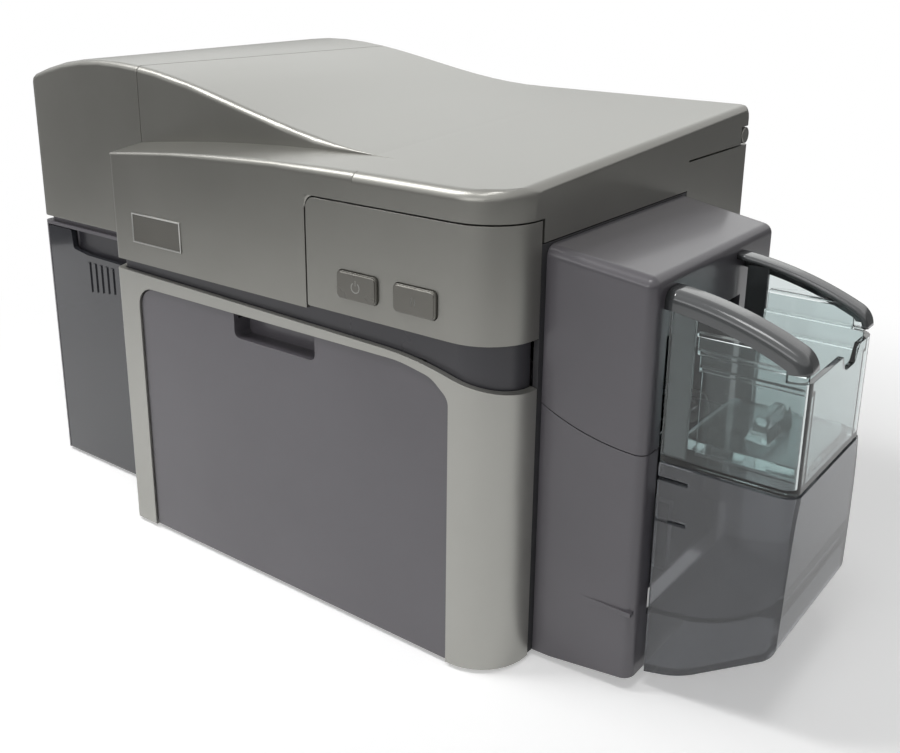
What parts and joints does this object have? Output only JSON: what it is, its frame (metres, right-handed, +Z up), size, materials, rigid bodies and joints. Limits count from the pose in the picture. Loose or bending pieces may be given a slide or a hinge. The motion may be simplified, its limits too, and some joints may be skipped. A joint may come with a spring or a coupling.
{
  "type": "id card printer",
  "caption": "Desktop printer for plastic cards: swept top cover on a rear hinge over a roller print engine, drop-down service door, clear card hopper and smoked output bin.",
  "frame": {"origin": "middle of the overall footprint, on the surface the printer stands on", "axes": "+X towards the card hopper at the right end, +Y towards the back, +Z up"},
  "size_m": [0.46, 0.2358, 0.2489],
  "materials": {
    "cover_paint": "satin metallic grey paint",
    "frame_paint": "satin metallic silver paint",
    "panel_dark": "fine satin",
    "band_dark": "semi gloss",
    "button_grey": "satin",
    "smoke_door": "gloss",
    "clear_smoke": "clear, slightly smoked",
    "dark_smoke": "smoked",
    "rail_smoke": "gloss",
    "inner_black": "matte",
    "steel": "zinc plated",
    "bright_steel": "ground",
    "aluminium": "milled",
    "rubber": "matte",
    "foot_rubber": "matte",
    "grey_rubber": "matte",
    "cleaning_blue": "tacky",
    "gear_nylon": "nylon",
    "brass": "turned",
    "circuit_green": "solder mask",
    "motor_black": "painted",
    "ribbon_core": "wound film",
    "cartridge_blue": "moulded"
  },
  "bodies": {
    "base": {"base_pan": "inner_black", "feet": "foot_rubber", "rear_cover": "cover_paint", "right_wall": "inner_black", "end_cover_upper": "cover_paint", "end_cover_lower": "cover_paint", "front_frame": "frame_paint", "front_fascia": "band_dark", "control_panel": "cover_paint", "button_board": "circuit_green", "front_door_pins": "bright_steel", "left_door_pins": "bright_steel", "hinge_brackets": "steel", "hinge_pins": "bright_steel", "engine_plate_front": "steel", "engine_plate_rear": "steel", "tie_bars": "bright_steel", "shaft_bushes": "brass", "idler_studs": "bright_steel", "feed_motor": "motor_black", "card_guides": "inner_black", "ribbon_frame": "cartridge_blue", "takeup_motor": "motor_black", "main_board": "circuit_green", "power_inlet": "inner_black", "data_ports": "steel", "housing_upper": "panel_dark", "housing_lower": "panel_dark", "feeder_frame": "steel", "input_hopper": "clear_smoke", "hopper_rails": "rail_smoke", "case_screws": "bright_steel"},
    "lid": {"top_cover": "cover_paint", "lid_liner": "inner_black", "hinge_leaf": "steel", "printhead_bracket": "steel", "printhead": "aluminium"},
    "service_door": {"front_door": "panel_dark"},
    "side_door": {"left_door": "smoke_door"},
    "power_key": {"power_button": "button_grey"},
    "pause_key": {"pause_button": "button_grey"},
    "platen": {"platen_roller": "rubber", "platen_gear": "gear_nylon"},
    "infeed": {"infeed_roller": "rubber", "infeed_gear": "gear_nylon"},
    "outfeed": {"outfeed_roller": "rubber", "outfeed_gear": "gear_nylon"},
    "idler_large": {"large_idler": "gear_nylon"},
    "idler_small": {"small_idler": "gear_nylon"},
    "pinion": {"motor_pinion": "brass"},
    "pinch_right": {"pinch_roller_right": "grey_rubber"},
    "pinch_left": {"pinch_roller_left": "grey_rubber"},
    "cleaner": {"cleaning_roller": "cleaning_blue"},
    "supply": {"supply_spool": "ribbon_core"},
    "takeup": {"takeup_spool": "ribbon_core"},
    "picker": {"pick_roller": "rubber"},
    "weight": {"card_weight": "inner_black"},
    "bin": {"output_bin": "dark_smoke"}
  },
  "joints": [
    {"name": "lid_hinge", "type": "hinge", "parent": "base", "child": "lid", "pos_m": [-0.005, 0.1129, 0.213], "axis": [-1, 0, 0], "range_deg": [0, 70]},
    {"name": "service_door_hinge", "type": "hinge", "parent": "base", "child": "service_door", "pos_m": [-0.004, -0.1127, 0.0054], "axis": [1, 0, 0], "range_deg": [0, 85]},
    {"name": "side_door_hinge", "type": "hinge", "parent": "base", "child": "side_door", "pos_m": [-0.18, -0.0827, 0.0054], "axis": [1, 0, 0], "range_deg": [0, 85]},
    {"name": "power_press", "type": "slide", "parent": "base", "child": "power_key", "axis": [0, 1, 0], "range_m": [0, 0.0012], "stiffness_N_per_m": 1500},
    {"name": "pause_press", "type": "slide", "parent": "base", "child": "pause_key", "axis": [0, 1, 0], "range_m": [0, 0.0012], "stiffness_N_per_m": 1500},
    {"name": "platen_spin", "type": "hinge", "parent": "base", "child": "platen", "pos_m": [-0.005, -0.0348, 0.104], "axis": [0, 1, 0], "continuous": true},
    {"name": "infeed_spin", "type": "hinge", "parent": "base", "child": "infeed", "pos_m": [0.085, -0.0348, 0.104], "axis": [0, 1, 0], "continuous": true},
    {"name": "outfeed_spin", "type": "hinge", "parent": "base", "child": "outfeed", "pos_m": [-0.071, -0.0348, 0.104], "axis": [0, 1, 0], "continuous": true},
    {"name": "large_idler_spin", "type": "hinge", "parent": "base", "child": "idler_large", "pos_m": [0.04, -0.0821, 0.104], "axis": [0, 1, 0], "continuous": true},
    {"name": "small_idler_spin", "type": "hinge", "parent": "base", "child": "idler_small", "pos_m": [-0.038, -0.0821, 0.104], "axis": [0, 1, 0], "continuous": true},
    {"name": "pinion_spin", "type": "hinge", "parent": "base", "child": "pinion", "pos_m": [0.04, -0.0821, 0.0635], "axis": [0, 1, 0], "continuous": true},
    {"name": "pinch_right_spin", "type": "hinge", "parent": "base", "child": "pinch_right", "pos_m": [0.085, -0.0348, 0.11826], "axis": [0, 1, 0], "continuous": true},
    {"name": "pinch_left_spin", "type": "hinge", "parent": "base", "child": "pinch_left", "pos_m": [-0.071, -0.0348, 0.11826], "axis": [0, 1, 0], "continuous": true},
    {"name": "cleaner_spin", "type": "hinge", "parent": "base", "child": "cleaner", "pos_m": [0.104, -0.0348, 0.11826], "axis": [0, 1, 0], "continuous": true},
    {"name": "supply_spin", "type": "hinge", "parent": "base", "child": "supply", "pos_m": [0.032, -0.0348, 0.15], "axis": [0, 1, 0], "continuous": true},
    {"name": "takeup_spin", "type": "hinge", "parent": "base", "child": "takeup", "pos_m": [-0.042, -0.0348, 0.15], "axis": [0, 1, 0], "continuous": true},
    {"name": "pick_spin", "type": "hinge", "parent": "base", "child": "picker", "pos_m": [0.153, -0.0348, 0.104], "axis": [0, 1, 0], "continuous": true},
    {"name": "weight_lift", "type": "slide", "parent": "base", "child": "weight", "axis": [0, 0, 1], "range_m": [0, 0.04]},
    {"name": "bin_slide", "type": "slide", "parent": "base", "child": "bin", "axis": [1, 0, 0], "range_m": [0, 0.04]}
  ],
  "couplings": [
    {"joint": "large_idler_spin", "follows": "platen_spin", "ratio": -0.36364},
    {"joint": "small_idler_spin", "follows": "platen_spin", "ratio": -0.57143},
    {"joint": "infeed_spin", "follows": "platen_spin", "ratio": 1},
    {"joint": "outfeed_spin", "follows": "platen_spin", "ratio": 1},
    {"joint": "pinion_spin", "follows": "platen_spin", "ratio": 1.6},
    {"joint": "pinch_right_spin", "follows": "platen_spin", "ratio": -1.4545},
    {"joint": "pinch_left_spin", "follows": "platen_spin", "ratio": -1.4545},
    {"joint": "takeup_spin", "follows": "supply_spin", "ratio": 1.7647}
  ]
}
